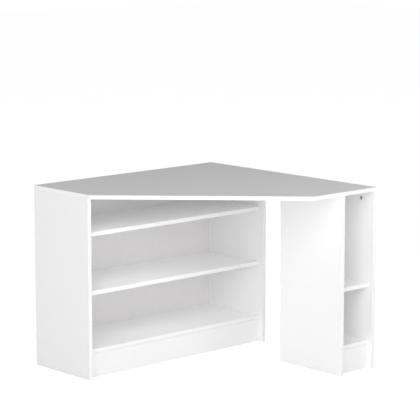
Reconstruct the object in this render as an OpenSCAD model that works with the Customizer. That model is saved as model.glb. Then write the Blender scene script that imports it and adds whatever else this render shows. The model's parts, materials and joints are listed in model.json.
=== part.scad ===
// Corner desk for a room corner. A five-sided desktop stands on a low bookcase
// along the back wall and on a narrow pedestal at the front end of the side wall.
// Every piece is a board, an edging strip or a fitting of its own.
// Millimetres, +Z up. The origin is on the floor, below the middle of the
// square that the desktop is cut from. The room's corner is at +X, +Y.

/* [Desktop] */
// Length of the desktop along the back wall
desk_w = 980; // [900:10:1200]
// Length of the desktop along the side wall
desk_d = 980; // [900:10:1200]
// Depth of the desktop at its left end
left_depth = 360; // [350:5:450]
// Width of the desktop at its front end
front_w = 360; // [330:5:450]
// Height of the work surface
desk_h = 750; // [730:5:790]

/* [Boards] */
// Thickness of every coated chipboard
board_t = 16; // [15:0.5:19]
// Thickness of the edging strips
edging_t = 1; // [0.8:0.1:2]
// Radius of the edging's two outer arrises
arris_r = 0.6; // [0.3:0.1:0.8]
// Thickness of the hardboard backs
back_t = 3; // [2.5:0.5:4]
// Width of the rebates that the hardboard backs lie in
rebate_w = 8; // [6:0.5:10]
// Gap between a hardboard back and the sides of its rebates
back_side_gap = 0.5; // [0.2:0.1:2]
// Gap between a hardboard back and the desktop above it
back_top_gap = 1; // [0.5:0.5:4]

/* [Bookcase] */
// Depth of the bookcase from the wall to its panels' front edges
book_depth = 345; // [300:5:350]
// Clear height over the bottom shelves
lower_clear = 222; // [180:1:235]
// Clear height over the bookcase's middle shelf
middle_clear = 222; // [180:1:235]

/* [Pedestal] */
// Outer width of the pedestal
pedestal_w = 200; // [190:5:320]
// Depth of the pedestal from its back to its panels' front edges
pedestal_depth = 345; // [300:5:400]

/* [Shelves and plinths] */
// Setback of shelves and plinths from the panels' front edges
recess = 25; // [10:1:40]
// Height of the plinths
plinth_h = 99; // [89:1:119]
// Gap between a plinth and the bottom shelf above it
plinth_gap = 1; // [0:0.5:2]

/* [Rows of fittings] */
// Distance from a panel's front or rear edge to its first row of holes
first_row = 37; // [34:1:45]
// Distance between rows of holes
row_pitch = 32; // [28:1:36]
// Length of plinth for each dowel up into the bottom shelf
plinth_dowel_pitch = 316; // [200:10:400]

/* [Cam locks] */
// Diameter of a cam lock
cam_d = 15; // [14:0.5:16]
// Thickness of board left behind a cam lock
cam_floor = 3.7; // [3:0.1:4]
// Depth of a cam lock's face below the board's face
cam_sink = 0.3; // [0.1:0.1:0.8]
// Distance from a board's end to the axis of its cam locks
cam_reach = 34; // [30:1:37]
// Width of the bars of the cross recess in a cam lock
drive_w = 1.6; // [1:0.1:2]
// Length of the bars of the cross recess in a cam lock
drive_l = 8; // [6:0.5:9]
// Depth of the cross recess in a cam lock
drive_depth = 2.5; // [1.5:0.1:2.8]
// Depth of the cone in the middle of the cross recess
drive_cone_depth = 2; // [1:0.1:2.8]

/* [Cam bolts] */
// Diameter of a cam bolt's body
bolt_d = 7; // [6:0.5:7.5]
// Diameter of the hole that a cam bolt's body lies in
bolt_hole_d = 8; // [7.7:0.1:8.5]
// Diameter of the end that screws into the neighbouring board
thread_d = 5; // [4:0.1:5.5]
// Length of the end that screws into the neighbouring board
thread_l = 11; // [9:0.5:11.5]
// Length of the bevels at the thread's tip and at the body's end
bolt_bevel = 1; // [0.5:0.1:1.5]
// Diameter of the neck behind the head
neck_d = 4; // [3.5:0.1:4.5]
// Diameter of the head
head_d = 6.4; // [5.8:0.1:6.6]
// Length of the head
head_l = 4; // [3:0.1:4.5]

/* [Dowels] */
// Diameter of a beech dowel
dowel_d = 8; // [6:1:9]
// Length of a dowel
dowel_l = 30; // [25:1:35]
// Depth to which a dowel stands in the face of a board
dowel_face_depth = 12; // [9:0.5:12]
// Chamfer round the ends of a dowel
dowel_chamfer = 1; // [0.5:0.1:2]
// Number of glue flutes along a dowel
flutes = 10; // [6:1:16]
// Radius of a glue flute
flute_r = 0.5; // [0.3:0.1:0.7]

/* [Nails] */
// Diameter of a back panel nail
nail_d = 1.4; // [1.2:0.1:2]
// Length of a nail below its head
nail_l = 20; // [15:1:25]
// Diameter of a nail's head
nail_head_d = 3.4; // [3:0.1:5]
// Thickness of a nail's head
nail_head_t = 0.6; // [0.4:0.1:0.8]
// Depth of the nail heads below the rear edges of the panels
nail_head_gap = 0.1; // [0.1:0.1:1]
// Greatest distance between nails
nail_pitch = 130; // [90:5:200]
// Distance from the end of a board to its first nail
nail_margin = 40; // [25:1:50]

/* [Clearances] */
// Clearance round each pin, bolt, nail and cam in its hole
hole_gap = 0.1; // [0.05:0.01:0.2]
// Spare depth at the blind end of a hole
end_gap = 1; // [0.5:0.1:2]

/* [Hidden] */

$fn = 32;
cut = 1; // overshoot of a cutting shape past an open face

white = [0.95, 0.95, 0.94];
back_white = [0.85, 0.83, 0.82];
zinc = [0.62, 0.63, 0.65];
steel = [0.75, 0.75, 0.77];
beech = [0.82, 0.68, 0.48];

half_w = desk_w / 2;
half_d = desk_d / 2;
under = desk_h - board_t; // underside of the desktop, where the panels end
rebate_depth = back_t + nail_head_t + nail_head_gap; // from a panel's rear edge

// Outer corners of the desktop, counter-clockwise from the room's corner
corners = [
    [half_w, half_d],
    [-half_w, half_d],
    [-half_w, half_d - left_depth],
    [half_w - front_w, -half_d],
    [half_w, -half_d],
];

// Undersides of the shelves, from the floor up
bottom_z = plinth_h + plinth_gap;
middle_z = bottom_z + board_t + lower_clear;
upper_z = middle_z + board_t + middle_clear;

// A unit is [left side, right side, front edge, rear edge, shelf undersides]
bookcase = [-half_w, half_w, half_d - book_depth, half_d, [bottom_z, middle_z, upper_z]];
pedestal = [half_w - pedestal_w, half_w, -half_d, pedestal_depth - half_d, [bottom_z, middle_z]];
units = [bookcase, pedestal];

function left(u) = u[0];
function right(u) = u[1];
function front(u) = u[2];
function rear(u) = u[3];
function shelf_levels(u) = u[4];

// Inner face and mid-thickness of a unit's side panel. The side is -1 for left and 1 for right
function inner_face(u, side) = side < 0 ? left(u) + board_t : right(u) - board_t;
function panel_mid(u, side) = inner_face(u, side) + side * board_t / 2;
function plinth_mid(u) = front(u) + recess + board_t / 2;
// Front face of a unit's hardboard back, where its shelves end
function back_face(u) = rear(u) - rebate_depth;

// Front and rear row of holes in a unit's side panels, each as far in from its edge
function rows(u, from_edge) = [front(u) + from_edge, rear(u) - from_edge];
// Middles of n equal stretches from a to b
function spread(a, b, n) = [for (i = [0:n - 1]) a + (b - a) * (i + 0.5) / n];
// Places from a to b, including both, no further apart than the pitch
function steps(a, b, pitch) = let(n = ceil((b - a) / pitch)) [for (i = [0:n]) a + (b - a) * i / n];

// A joint is [point where the boards meet, direction into the board drilled in its end,
// direction in which that board's cam locks open]
function top_joints(u, row) = [
    for (side = [-1, 1], y = rows(u, row)) [[panel_mid(u, side), y, under], [0, 0, -1], [-side, 0, 0]]
];
function shelf_joints(u, z, row) = [
    for (side = [-1, 1], y = rows(u, row))
        [[inner_face(u, side), y, z + board_t / 2], [-side, 0, 0], [0, 0, -1]]
];
function plinth_end_joints(u, z) = [
    for (side = [-1, 1]) [[inner_face(u, side), plinth_mid(u), z], [-side, 0, 0], [0, 1, 0]]
];
function plinth_dowels(u) = max(2, floor((inner_face(u, 1) - inner_face(u, -1)) / plinth_dowel_pitch));
function plinth_top_joints(u) = [
    for (x = spread(inner_face(u, -1), inner_face(u, 1), plinth_dowels(u)))
        [[x, plinth_mid(u), bottom_z], [0, 0, -1], [0, 1, 0]]
];

// Rows of the fittings of each kind, from a panel's front or rear edge
top_dowel_row = first_row;
cam_row = first_row + row_pitch;
shelf_dowel_row = first_row + 2 * row_pitch;
plinth_cam_z = plinth_h / 2 + row_pitch / 2;
plinth_dowel_z = plinth_h / 2 - row_pitch / 2;

function all_shelf_joints(u, row) = [for (z = shelf_levels(u), j = shelf_joints(u, z, row)) j];

// Nails along the rebates of both side panels and along every shelf, as [x, z]
function rebate_nails(u) = [
    for (side = [-1, 1], z = steps(bottom_z + nail_margin, under - nail_margin, nail_pitch))
        [inner_face(u, side) + side * rebate_w / 2, z]
];
function shelf_nails(u) = [
    for (z = shelf_levels(u))
        for (x = steps(inner_face(u, -1) + nail_margin, inner_face(u, 1) - nail_margin, nail_pitch))
            [x, z + board_t / 2]
];

// Puts its children in a joint's own frame: z into the end-drilled board, x towards the cam's face
module at_joint(j) {
    z = j[1];
    x = j[2];
    y = cross(z, x);
    multmatrix([
        [x[0], y[0], z[0], j[0][0]],
        [x[1], y[1], z[1], j[0][1]],
        [x[2], y[2], z[2], j[0][2]],
    ])
        children();
}

module at_joints(joints) {
    for (j = joints)
        at_joint(j) children();
}

// Puts its children at each nail, z into the boards from the hardboard's rear face
module at_nails(u) {
    for (p = concat(rebate_nails(u), shelf_nails(u)))
        translate([p[0], back_face(u) + back_t, p[1]]) rotate([90, 0, 0]) children();
}

// Section of an edging strip: x into the board, y across the board's thickness
module edging_section() {
    intersection() {
        square([edging_t, board_t]);
        union() {
            translate([arris_r, 0]) square([edging_t, board_t]);
            translate([0, arris_r]) square([edging_t, board_t - 2 * arris_r]);
            for (y = [arris_r, board_t - arris_r])
                translate([arris_r, y]) circle(arris_r);
        }
    }
}

// Holes for a cam lock and its bolt, in the board drilled in its end
module cam_holes() {
    translate([0, 0, -cut]) cylinder(d = bolt_hole_d, h = cam_reach + cut);
    translate([cam_floor - board_t / 2, 0, cam_reach]) rotate([0, 90, 0])
        cylinder(d = cam_d + 2 * hole_gap, h = board_t);
}

// Hole for the bolt's thread, in the face of the neighbouring board
module thread_hole() {
    translate([0, 0, -thread_l - end_gap])
        cylinder(d = thread_d + 2 * hole_gap, h = thread_l + end_gap + cut);
}

module dowel_end_hole() {
    translate([0, 0, -cut])
        cylinder(d = dowel_d + 2 * hole_gap, h = dowel_l - dowel_face_depth + end_gap + cut);
}

module dowel_face_hole() {
    translate([0, 0, -dowel_face_depth]) cylinder(d = dowel_d + 2 * hole_gap, h = dowel_face_depth + cut);
}

module nail_hole() {
    translate([0, 0, -cut]) cylinder(d = nail_d + 2 * hole_gap, h = nail_l + end_gap + cut);
}

// Zinc cam. Its axis is z, its drive is in the top face and the bolt comes in from +x.
// A chamber holds the bolt's head, a slot lets the neck pass as the cam turns, and the head
// goes in through the round mouth at the slot's far end
module cam() {
    cam_h = board_t - cam_floor - cam_sink;
    bolt_z = board_t / 2 - cam_floor;
    mouth_angle = 105;
    mouth_d = head_d + 2 * hole_gap;
    chamber_h = mouth_d + 2 * hole_gap;
    chamber_d = norm([head_d, head_l]) + 4 * hole_gap;
    neck_w = neck_d + 2 * hole_gap;
    difference() {
        cylinder(d = cam_d, h = cam_h);
        translate([0, 0, bolt_z - chamber_h / 2]) cylinder(d = chamber_d, h = chamber_h);
        translate([0, 0, bolt_z - neck_w / 2]) linear_extrude(neck_w)
            polygon([
                [0, -neck_w / 2],
                [cam_d, -neck_w / 2],
                for (a = [mouth_angle / 2, mouth_angle]) cam_d * [cos(a), sin(a)],
            ]);
        translate([0, 0, bolt_z]) rotate([0, 90, mouth_angle]) cylinder(d = mouth_d, h = cam_d);
        for (a = [45, 135])
            translate([0, 0, cam_h - drive_depth / 2 + cut / 2]) rotate([0, 0, a])
                cube([drive_l, drive_w, drive_depth + cut], center = true);
        translate([0, 0, cam_h - drive_cone_depth])
            cylinder(d1 = drive_w / 2, d2 = 3 * drive_w, h = drive_cone_depth + hole_gap);
    }
}

module cam_lock() {
    translate([cam_floor - board_t / 2, 0, cam_reach]) rotate([0, 90, 0]) cam();
}

// Steel bolt: thread below the joint face, then body, neck and the head that the cam grips
module cam_bolt() {
    body_end = cam_reach - cam_d / 2 - end_gap;
    head_start = cam_reach - head_l / 2;
    shoulder = (head_d - neck_d) / 2;
    rotate_extrude()
        polygon([
            [0, -thread_l],
            [thread_d / 2 - bolt_bevel, -thread_l],
            [thread_d / 2, bolt_bevel - thread_l],
            [thread_d / 2, 0],
            [bolt_d / 2, 0],
            [bolt_d / 2, body_end - bolt_bevel],
            [neck_d / 2, body_end],
            [neck_d / 2, head_start],
            [head_d / 2, head_start + shoulder],
            [head_d / 2, head_start + head_l - shoulder / 2],
            [head_d / 2 - shoulder / 2, head_start + head_l],
            [0, head_start + head_l],
        ]);
}

// Fluted beech dowel, chamfered at both ends
module dowel() {
    r = dowel_d / 2;
    translate([0, 0, -dowel_face_depth])
        difference() {
            rotate_extrude()
                polygon([
                    [0, 0],
                    [r - dowel_chamfer, 0],
                    [r, dowel_chamfer],
                    [r, dowel_l - dowel_chamfer],
                    [r - dowel_chamfer, dowel_l],
                    [0, dowel_l],
                ]);
            for (i = [0:flutes - 1])
                rotate([0, 0, i * 360 / flutes]) translate([r, 0, -cut])
                    cylinder(r = flute_r, h = dowel_l + 2 * cut, $fn = 16);
        }
}

// Flat-headed nail, its head on the back panel
module nail() {
    tip = 2 * nail_d;
    rotate_extrude()
        polygon([
            [0, -nail_head_t],
            [nail_head_d / 2, -nail_head_t],
            [nail_head_d / 2, 0],
            [nail_d / 2, 0],
            [nail_d / 2, nail_l - tip],
            [0, nail_l],
        ]);
}

// Side panel of a unit, less its edging. Its inner face takes the shelves and the plinth,
// and a rebate along its rear edge takes the hardboard back
module side_panel(u, side) {
    color(white) difference() {
        translate([panel_mid(u, side) - board_t / 2, front(u) + edging_t, 0])
            cube([board_t, rear(u) - front(u) - edging_t, under]);
        translate([inner_face(u, side) + side * (rebate_w - cut) / 2, rear(u), under / 2])
            cube([rebate_w + cut, 2 * rebate_depth, under + 2 * cut], center = true);
        at_joints(top_joints(u, cam_row)) cam_holes();
        at_joints(top_joints(u, top_dowel_row)) dowel_end_hole();
        at_joints(all_shelf_joints(u, cam_row)) thread_hole();
        at_joints(all_shelf_joints(u, shelf_dowel_row)) dowel_face_hole();
        at_joints(plinth_end_joints(u, plinth_cam_z)) thread_hole();
        at_joints(plinth_end_joints(u, plinth_dowel_z)) dowel_face_hole();
        at_nails(u) nail_hole();
    }
}

// Shelf of a unit between its side panels, less its edging
module shelf(u, z) {
    span = inner_face(u, 1) - inner_face(u, -1);
    color(white) difference() {
        translate([inner_face(u, -1), front(u) + recess + edging_t, z])
            cube([span, back_face(u) - front(u) - recess - edging_t, board_t]);
        at_joints(shelf_joints(u, z, cam_row)) cam_holes();
        at_joints(shelf_joints(u, z, shelf_dowel_row)) dowel_end_hole();
        at_joints(plinth_top_joints(u)) dowel_face_hole();
        at_nails(u) nail_hole();
    }
}

// Plinth board under a unit's bottom shelf
module plinth(u) {
    span = inner_face(u, 1) - inner_face(u, -1);
    color(white) difference() {
        translate([inner_face(u, -1), front(u) + recess, 0]) cube([span, board_t, plinth_h]);
        at_joints(plinth_end_joints(u, plinth_cam_z)) cam_holes();
        at_joints(plinth_end_joints(u, plinth_dowel_z)) dowel_end_hole();
        at_joints(plinth_top_joints(u)) dowel_end_hole();
    }
}

// Hardboard back, nailed into the panels' rebates and to the rear edges of the shelves
module hardboard(u) {
    span = inner_face(u, 1) - inner_face(u, -1) + 2 * (rebate_w - back_side_gap);
    color(back_white) difference() {
        translate([inner_face(u, -1) - rebate_w + back_side_gap, back_face(u), bottom_z])
            cube([span, back_t, under - back_top_gap - bottom_z]);
        at_nails(u) nail_hole();
    }
}

module panel_edging(u) {
    color(white) for (side = [-1, 1])
        translate([panel_mid(u, side) + board_t / 2, front(u), 0]) rotate([0, 0, 90])
            linear_extrude(under) edging_section();
}

module shelf_edging(u) {
    span = inner_face(u, 1) - inner_face(u, -1);
    color(white) for (z = shelf_levels(u))
        translate([inner_face(u, -1), front(u) + recess, z]) rotate([90, 0, 90])
            linear_extrude(span) edging_section();
}

function unit_vector(v) = v / norm(v);
function next(i) = (i + 1) % len(corners);
function last(i) = (i + len(corners) - 1) % len(corners);

// Corner i moved in from both of its edges by the edging's thickness
function core_corner(i) = let(
    p = corners[i],
    a = unit_vector(corners[next(i)] - p),
    b = unit_vector(corners[last(i)] - p)
) p + (a + b) * edging_t / abs(cross(a, b));

module desktop() {
    color(white) difference() {
        translate([0, 0, under]) linear_extrude(board_t)
            polygon([for (i = [0:len(corners) - 1]) core_corner(i)]);
        for (u = units) {
            at_joints(top_joints(u, cam_row)) thread_hole();
            at_joints(top_joints(u, top_dowel_row)) dowel_face_hole();
        }
    }
}

// Strip on the edge from corner i to the next, mitred where it meets the others
module desktop_strip(i) {
    along = corners[next(i)] - corners[i];
    color(white) intersection() {
        translate([0, 0, under]) linear_extrude(board_t)
            polygon([corners[i], corners[next(i)], core_corner(next(i)), core_corner(i)]);
        translate([corners[i][0], corners[i][1], under]) rotate([0, 0, atan2(along[1], along[0])])
            rotate([90, 0, 90]) linear_extrude(norm(along)) edging_section();
    }
}

module desktop_edging_back() { desktop_strip(0); }
module desktop_edging_left_end() { desktop_strip(1); }
module desktop_edging_diagonal() { desktop_strip(2); }
module desktop_edging_front_end() { desktop_strip(3); }
module desktop_edging_side() { desktop_strip(4); }

module bookcase_end_panel() { side_panel(bookcase, -1); }
module bookcase_corner_panel() { side_panel(bookcase, 1); }
module bookcase_panel_edging() { panel_edging(bookcase); }
module bookcase_upper_shelf() { shelf(bookcase, upper_z); }
module bookcase_middle_shelf() { shelf(bookcase, middle_z); }
module bookcase_bottom_shelf() { shelf(bookcase, bottom_z); }
module bookcase_shelf_edging() { shelf_edging(bookcase); }
module bookcase_plinth() { plinth(bookcase); }
module bookcase_back() { hardboard(bookcase); }

module pedestal_knee_panel() { side_panel(pedestal, -1); }
module pedestal_wall_panel() { side_panel(pedestal, 1); }
module pedestal_panel_edging() { panel_edging(pedestal); }
module pedestal_middle_shelf() { shelf(pedestal, middle_z); }
module pedestal_bottom_shelf() { shelf(pedestal, bottom_z); }
module pedestal_shelf_edging() { shelf_edging(pedestal); }
module pedestal_plinth() { plinth(pedestal); }
module pedestal_back() { hardboard(pedestal); }

module cam_locks(joints) { color(zinc) at_joints(joints) cam_lock(); }
module cam_bolts(joints) { color(steel) at_joints(joints) cam_bolt(); }
module dowels(joints) { color(beech) at_joints(joints) dowel(); }
module nails(u) { color(steel) at_nails(u) nail(); }

module desktop_cam_locks() { for (u = units) cam_locks(top_joints(u, cam_row)); }
module desktop_cam_bolts() { for (u = units) cam_bolts(top_joints(u, cam_row)); }
module desktop_dowels() { for (u = units) dowels(top_joints(u, top_dowel_row)); }

module bookcase_shelf_cam_locks() { cam_locks(all_shelf_joints(bookcase, cam_row)); }
module bookcase_shelf_cam_bolts() { cam_bolts(all_shelf_joints(bookcase, cam_row)); }
module bookcase_shelf_dowels() { dowels(all_shelf_joints(bookcase, shelf_dowel_row)); }
module pedestal_shelf_cam_locks() { cam_locks(all_shelf_joints(pedestal, cam_row)); }
module pedestal_shelf_cam_bolts() { cam_bolts(all_shelf_joints(pedestal, cam_row)); }
module pedestal_shelf_dowels() { dowels(all_shelf_joints(pedestal, shelf_dowel_row)); }

function plinth_dowel_joints(u) = concat(plinth_end_joints(u, plinth_dowel_z), plinth_top_joints(u));
module bookcase_plinth_cam_locks() { cam_locks(plinth_end_joints(bookcase, plinth_cam_z)); }
module bookcase_plinth_cam_bolts() { cam_bolts(plinth_end_joints(bookcase, plinth_cam_z)); }
module bookcase_plinth_dowels() { dowels(plinth_dowel_joints(bookcase)); }
module pedestal_plinth_cam_locks() { cam_locks(plinth_end_joints(pedestal, plinth_cam_z)); }
module pedestal_plinth_cam_bolts() { cam_bolts(plinth_end_joints(pedestal, plinth_cam_z)); }
module pedestal_plinth_dowels() { dowels(plinth_dowel_joints(pedestal)); }

module bookcase_back_nails() { nails(bookcase); }
module pedestal_back_nails() { nails(pedestal); }

desktop();
desktop_edging_back();
desktop_edging_left_end();
desktop_edging_diagonal();
desktop_edging_front_end();
desktop_edging_side();
bookcase_end_panel();
bookcase_corner_panel();
bookcase_panel_edging();
bookcase_upper_shelf();
bookcase_middle_shelf();
bookcase_bottom_shelf();
bookcase_shelf_edging();
bookcase_plinth();
bookcase_back();
pedestal_knee_panel();
pedestal_wall_panel();
pedestal_panel_edging();
pedestal_middle_shelf();
pedestal_bottom_shelf();
pedestal_shelf_edging();
pedestal_plinth();
pedestal_back();
desktop_cam_locks();
desktop_cam_bolts();
desktop_dowels();
bookcase_shelf_cam_locks();
bookcase_shelf_cam_bolts();
bookcase_shelf_dowels();
pedestal_shelf_cam_locks();
pedestal_shelf_cam_bolts();
pedestal_shelf_dowels();
bookcase_plinth_cam_locks();
bookcase_plinth_cam_bolts();
bookcase_plinth_dowels();
pedestal_plinth_cam_locks();
pedestal_plinth_cam_bolts();
pedestal_plinth_dowels();
bookcase_back_nails();
pedestal_back_nails();
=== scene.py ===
"""Looks of a white corner desk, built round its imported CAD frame.

The boards, edging strips and fittings are the frame's own nodes. This script
gives them their finishes, and sets the camera, the lamps and a white studio.
Lengths are metres, and the frame is the CAD's: +Z up, the room's corner at +X, +Y.
"""
import json
import math

import bpy
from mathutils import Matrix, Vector

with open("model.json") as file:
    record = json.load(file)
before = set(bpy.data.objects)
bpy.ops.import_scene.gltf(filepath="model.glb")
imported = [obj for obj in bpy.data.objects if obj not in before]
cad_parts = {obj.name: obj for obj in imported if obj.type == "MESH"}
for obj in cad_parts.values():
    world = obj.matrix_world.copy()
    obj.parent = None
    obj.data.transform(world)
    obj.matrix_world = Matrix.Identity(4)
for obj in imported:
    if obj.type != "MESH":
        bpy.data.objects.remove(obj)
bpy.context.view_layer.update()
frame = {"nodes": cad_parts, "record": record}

# ---------------------------------------------------------------- camera
SENSOR_WIDTH = 36.0  # mm, across the square picture
FOCAL_LENGTH = 159.42857  # mm
CAMERA_PLACE = (-5.027, -5.466, 1.896)
HEADING = math.radians(47.23)  # from +X towards +Y
TILT_DOWN = math.radians(9.51)
CLIP_NEAR = 0.1
CLIP_FAR = 60.0  # past the floor's far edge


def make_camera():
    camera = bpy.data.objects.new("camera", bpy.data.cameras.new("camera"))
    camera.data.sensor_width = SENSOR_WIDTH
    camera.data.lens = FOCAL_LENGTH
    camera.data.clip_start = CLIP_NEAR
    camera.data.clip_end = CLIP_FAR
    camera.location = CAMERA_PLACE
    camera.rotation_euler = (math.pi / 2 - TILT_DOWN, 0.0, HEADING - math.pi / 2)
    bpy.context.scene.collection.objects.link(camera)
    bpy.context.scene.camera = camera


make_camera()


# ---------------------------------------------------------------- node helpers
def grey(level, warmth=0.0):
    """A grey of that level, with less green and blue where it is warm."""
    return (level, level * (1 - warmth / 2), level * (1 - warmth), 1.0)


class Graph:
    """The node tree of a material or a world, with short calls for the nodes used here.

    A value that a call takes is a number, a vector, a colour or another node's output.
    """

    def __init__(self, owner, output_kind="OutputMaterial"):
        owner.use_nodes = True
        self.owner = owner
        self.tree = owner.node_tree
        self.tree.nodes.clear()
        self.output = self.node(output_kind)

    def node(self, kind, inputs=None, **settings):
        made = self.tree.nodes.new("ShaderNode" + kind)
        for key, value in settings.items():
            setattr(made, key, value)
        for key, value in (inputs or {}).items():
            self.put(made.inputs[key], value)
        return made

    def put(self, socket, value):
        if isinstance(value, bpy.types.NodeSocket):
            self.tree.links.new(value, socket)
        else:
            socket.default_value = value

    def surface(self, shader):
        self.put(self.output.inputs["Surface"], shader.outputs[0])

    # patterns
    def object_space(self):
        return self.node("TexCoord").outputs["Object"]

    def axis(self, vector, letter):
        return self.node("SeparateXYZ", {"Vector": vector}).outputs[letter]

    def noise(self, scale, detail=2.0, roughness=0.5, stretch=(1, 1, 1)):
        """Cloudy noise with about scale clouds to the metre."""
        place = self.node("Mapping", {"Vector": self.object_space(), "Scale": stretch}).outputs[0]
        inputs = {"Vector": place, "Scale": scale, "Detail": detail, "Roughness": roughness}
        return self.node("TexNoise", inputs).outputs["Fac"]

    # numbers
    def math(self, operation, a, b=0.0):
        return self.node("Math", {0: a, 1: b}, operation=operation).outputs[0]

    def span(self, value, low, high, from_low=0.3, from_high=0.7):
        """value, from noise's usual range unless another is given, on to low..high."""
        source = {"Value": value, "From Min": from_low, "From Max": from_high}
        return self.node("MapRange", source | {"To Min": low, "To Max": high}).outputs["Result"]

    # colours
    def blend(self, factor, a, b):
        """The Mix node's sockets 6 and 7 and its output 2 are the ones for colours."""
        return self.node("Mix", {0: factor, 6: a, 7: b}, data_type="RGBA").outputs[2]

    def mottle(self, noise, low, high):
        """Colours from low to high, as the noise goes."""
        return self.blend(self.span(noise, 0.0, 1.0), low, high)

    # surfaces
    def bump(self, height, distance, strength, under=None):
        """Relief distance metres deep, on top of the relief under where one is given."""
        inputs = {"Height": height, "Distance": distance, "Strength": strength}
        if under is not None:
            inputs["Normal"] = under
        return self.node("Bump", inputs).outputs["Normal"]

    def principled(self, **inputs):
        named = {key.replace("_", " "): value for key, value in inputs.items()}
        self.surface(self.node("BsdfPrincipled", named))

    def glow_and_diffuse(self, glow, diffuse):
        emission = self.node("Emission", {"Color": grey(1.0), "Strength": glow})
        matt = self.node("BsdfDiffuse", {"Color": grey(diffuse)})
        return self.node("AddShader", {0: emission.outputs[0], 1: matt.outputs[0]})

    def studio_surface(self, light, seen):
        """light lights the desk, and seen is what the camera, gloss and glass see."""
        rays = self.node("LightPath").outputs
        in_view = self.math("MAXIMUM", rays["Is Camera Ray"], rays["Is Glossy Ray"])
        in_view = self.math("MAXIMUM", in_view, rays["Is Transmission Ray"])
        self.surface(self.node("MixShader", {0: in_view, 1: light.outputs[0], 2: seen.outputs[0]}))


def material_graph(name):
    return Graph(bpy.data.materials.new(name))


# ---------------------------------------------------------------- finishes
FACES_FLOOR = -0.9  # a face whose normal's Z is less than this looks at the floor
STANDS_ON_FLOOR = 0.001  # and stands on it if it is lower than this
FACES_SHELVES = 0.5  # a face whose normal points this much along -Y is a back's coated one
CHIP_DARK = (0.30, 0.20, 0.11, 1)
CHIP_PALE = (0.55, 0.40, 0.24, 1)
LACQUER_LOW = (0.888, 0.874, 0.882, 1)
LACQUER_HIGH = (0.907, 0.893, 0.901, 1)
FIBRE_DARK = (0.20, 0.115, 0.06, 1)
FIBRE_PALE = (0.34, 0.215, 0.125, 1)
FIBRE_STAIN = (0.26, 0.155, 0.085, 1)
BEECH_DARK = (0.50, 0.31, 0.16, 1)
BEECH_PALE = (0.68, 0.47, 0.28, 1)


def white_board():
    """Melamine on chipboard: a faint print-like mottle, a fine pearl, and bare chips underneath."""
    g = material_graph("white_board")
    face = g.mottle(g.noise(38.0, detail=4.0, roughness=0.6), grey(0.910), grey(0.926))
    clouds = g.span(g.noise(3.0), 0.0, 0.5)
    face = g.blend(clouds, face, grey(0.934))
    chips = g.node("TexVoronoi", {"Vector": g.object_space(), "Scale": 420.0}).outputs["Distance"]
    bare = g.blend(g.math("MULTIPLY", chips, 2.0), CHIP_PALE, CHIP_DARK)
    geometry = g.node("NewGeometry").outputs
    looks_down = g.math("LESS_THAN", g.axis(geometry["True Normal"], "Z"), FACES_FLOOR)
    is_lowest = g.math("LESS_THAN", g.axis(geometry["Position"], "Z"), STANDS_ON_FLOOR)
    underneath = g.math("MULTIPLY", looks_down, is_lowest)
    pearl = g.bump(g.noise(900.0), distance=0.00003, strength=0.5)
    g.principled(
        Base_Color=g.blend(underneath, face, bare),
        Roughness=g.span(g.noise(240.0), 0.44, 0.52),
        Specular_IOR_Level=0.38,
        Normal=g.bump(g.noise(120.0), distance=0.00006, strength=0.35, under=pearl),
    )
    return g.owner


def white_edging():
    """Plastic strip: a little smoother and whiter than the board, with a fine grain."""
    g = material_graph("white_edging")
    g.principled(
        Base_Color=g.mottle(g.noise(60.0, detail=3.0), grey(0.944), grey(0.958)),
        Roughness=g.span(g.noise(500.0), 0.32, 0.40),
        Normal=g.bump(g.noise(700.0), distance=0.00002, strength=0.5),
    )
    return g.owner


def hardboard(name, both_faces):
    """A faintly rosy white lacquer towards the shelves or on both faces, brown fibre elsewhere."""
    g = material_graph(name)
    lacquer = g.mottle(g.noise(25.0, detail=4.0, roughness=0.6), LACQUER_LOW, LACQUER_HIGH)
    fibre = g.mottle(g.noise(260.0, detail=6.0, roughness=0.75), FIBRE_DARK, FIBRE_PALE)
    stains = g.span(g.noise(7.0, detail=3.0), 0.0, 0.45)
    fibre = g.blend(stains, fibre, FIBRE_STAIN)
    normal = g.node("NewGeometry").outputs["True Normal"]
    facing = g.math("MULTIPLY", g.axis(normal, "Y"), -1.0)
    if both_faces:
        facing = g.math("ABSOLUTE", facing)
    uncoated = g.math("LESS_THAN", facing, FACES_SHELVES)
    grain = g.noise(600.0, detail=4.0, roughness=0.7)
    g.principled(
        Base_Color=g.blend(uncoated, lacquer, fibre),
        Roughness=g.span(uncoated, 0.5, 0.8, from_low=0.0, from_high=1.0),
        Normal=g.bump(grain, distance=0.00006, strength=0.6),
    )
    return g.owner


def zinc():
    """Die cast, dull and a little coarse."""
    g = material_graph("zinc")
    g.principled(
        Base_Color=g.mottle(g.noise(500.0, detail=3.0), grey(0.47), grey(0.60)),
        Metallic=1.0,
        Roughness=g.span(g.noise(300.0), 0.42, 0.58),
        Normal=g.bump(g.noise(1500.0, detail=3.0), distance=0.00004, strength=0.6),
    )
    return g.owner


def steel():
    """Plated bolts and nails, smoother and brighter than the zinc."""
    g = material_graph("steel")
    g.principled(
        Base_Color=g.mottle(g.noise(200.0), grey(0.60), grey(0.72, warmth=0.02)),
        Metallic=1.0,
        Roughness=g.span(g.noise(900.0), 0.22, 0.34),
        Normal=g.bump(g.noise(2500.0), distance=0.00001, strength=0.5),
    )
    return g.owner


def beech():
    """Short flecks, drawn out along X."""
    g = material_graph("beech")
    flecks = g.noise(900.0, detail=3.0, roughness=0.6, stretch=(0.3, 1.0, 1.0))
    g.principled(
        Base_Color=g.mottle(flecks, BEECH_DARK, BEECH_PALE),
        Roughness=g.span(g.noise(400.0), 0.55, 0.7),
        Normal=g.bump(flecks, distance=0.00005, strength=0.5),
    )
    return g.owner


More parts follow.
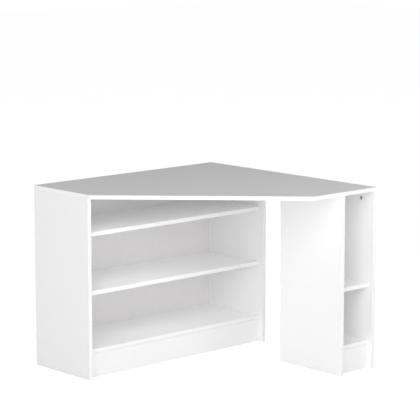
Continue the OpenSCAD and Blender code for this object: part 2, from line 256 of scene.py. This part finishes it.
FINISHES = {
    "white_board": white_board(),
    "white_edging": white_edging(),
    "hardboard": hardboard("hardboard", both_faces=False),
    "lacquered_hardboard": hardboard("lacquered_hardboard", both_faces=True),
    "zinc": zinc(),
    "steel": steel(),
    "beech": beech(),
}


def dress_nodes():
    """Every CAD node takes the finish that its record's slot names."""
    for row in frame["record"]["subparts"]:
        node = frame["nodes"][row["node"]]
        node.data.materials.clear()
        node.data.materials.append(FINISHES[row["material_slot"]])


dress_nodes()


# ---------------------------------------------------------------- studio
FLOOR_SIDE = 40.0
FLOOR_DROP = 0.0002  # keeps the floor just clear of the boards that stand on it
FLOOR_BOUNCE = 0.78  # how strongly the bright studio floor lights the boards from below
FLOOR_SHADE_REACH = 1.5  # how far round the desk the floor's glow is darkened, a painted shade of the desk on the floor and so on that bounce
AMBIENT = 0.085  # how strongly the studio's walls and ceiling light the desk
LAMPS_AIM = (0.0, 0.0, 0.4)  # about the desk's middle


def make_floor():
    """White where it is seen or mirrored, with a diffuse part that keeps the desk's shadow."""
    bpy.ops.mesh.primitive_plane_add(size=FLOOR_SIDE, location=(0, 0, -FLOOR_DROP))
    floor = bpy.context.object
    floor.name = "floor"
    g = material_graph("studio_floor")
    # For the light it gives the floor glows, and ambient occlusion darkens that glow near the desk
    # as painted shade
    painted_floor_shade = g.node("AmbientOcclusion", {"Distance": FLOOR_SHADE_REACH}).outputs["AO"]
    bounce = g.math("MULTIPLY", FLOOR_BOUNCE, painted_floor_shade)
    g.studio_surface(
        light=g.glow_and_diffuse(glow=bounce, diffuse=0.8),
        seen=g.glow_and_diffuse(glow=0.962, diffuse=0.3),
    )
    floor.data.materials.append(g.owner)


def make_world():
    """White where it is seen or mirrored, and a plain soft light for the desk."""
    g = Graph(bpy.data.worlds.new("studio"), "OutputWorld")
    g.studio_surface(
        light=g.node("Background", {"Color": grey(1.0), "Strength": AMBIENT}),
        seen=g.node("Background", {"Color": grey(1.0), "Strength": 1.0}),
    )
    bpy.context.scene.world = g.owner


def area_lamp(name, place, width, height, watts):
    lamp = bpy.data.objects.new(name, bpy.data.lights.new(name, "AREA"))
    lamp.data.shape = "RECTANGLE"
    lamp.data.size = width
    lamp.data.size_y = height
    lamp.data.energy = watts
    lamp.location = place
    aim = Vector(LAMPS_AIM) - lamp.location
    lamp.rotation_euler = aim.to_track_quat("-Z", "Y").to_euler()
    bpy.context.scene.collection.objects.link(lamp)


make_floor()
make_world()
area_lamp("front", (-4.20, -4.20, 4.11), width=5.0, height=5.0, watts=311.0)
area_lamp("side", (0.90, -1.56, 1.66), width=1.2, height=1.2, watts=4.8)

# Light goes round many times inside white compartments, more often than the default 4 bounces
bpy.context.scene.cycles.diffuse_bounces = 10
bpy.context.scene.view_settings.view_transform = "Standard"
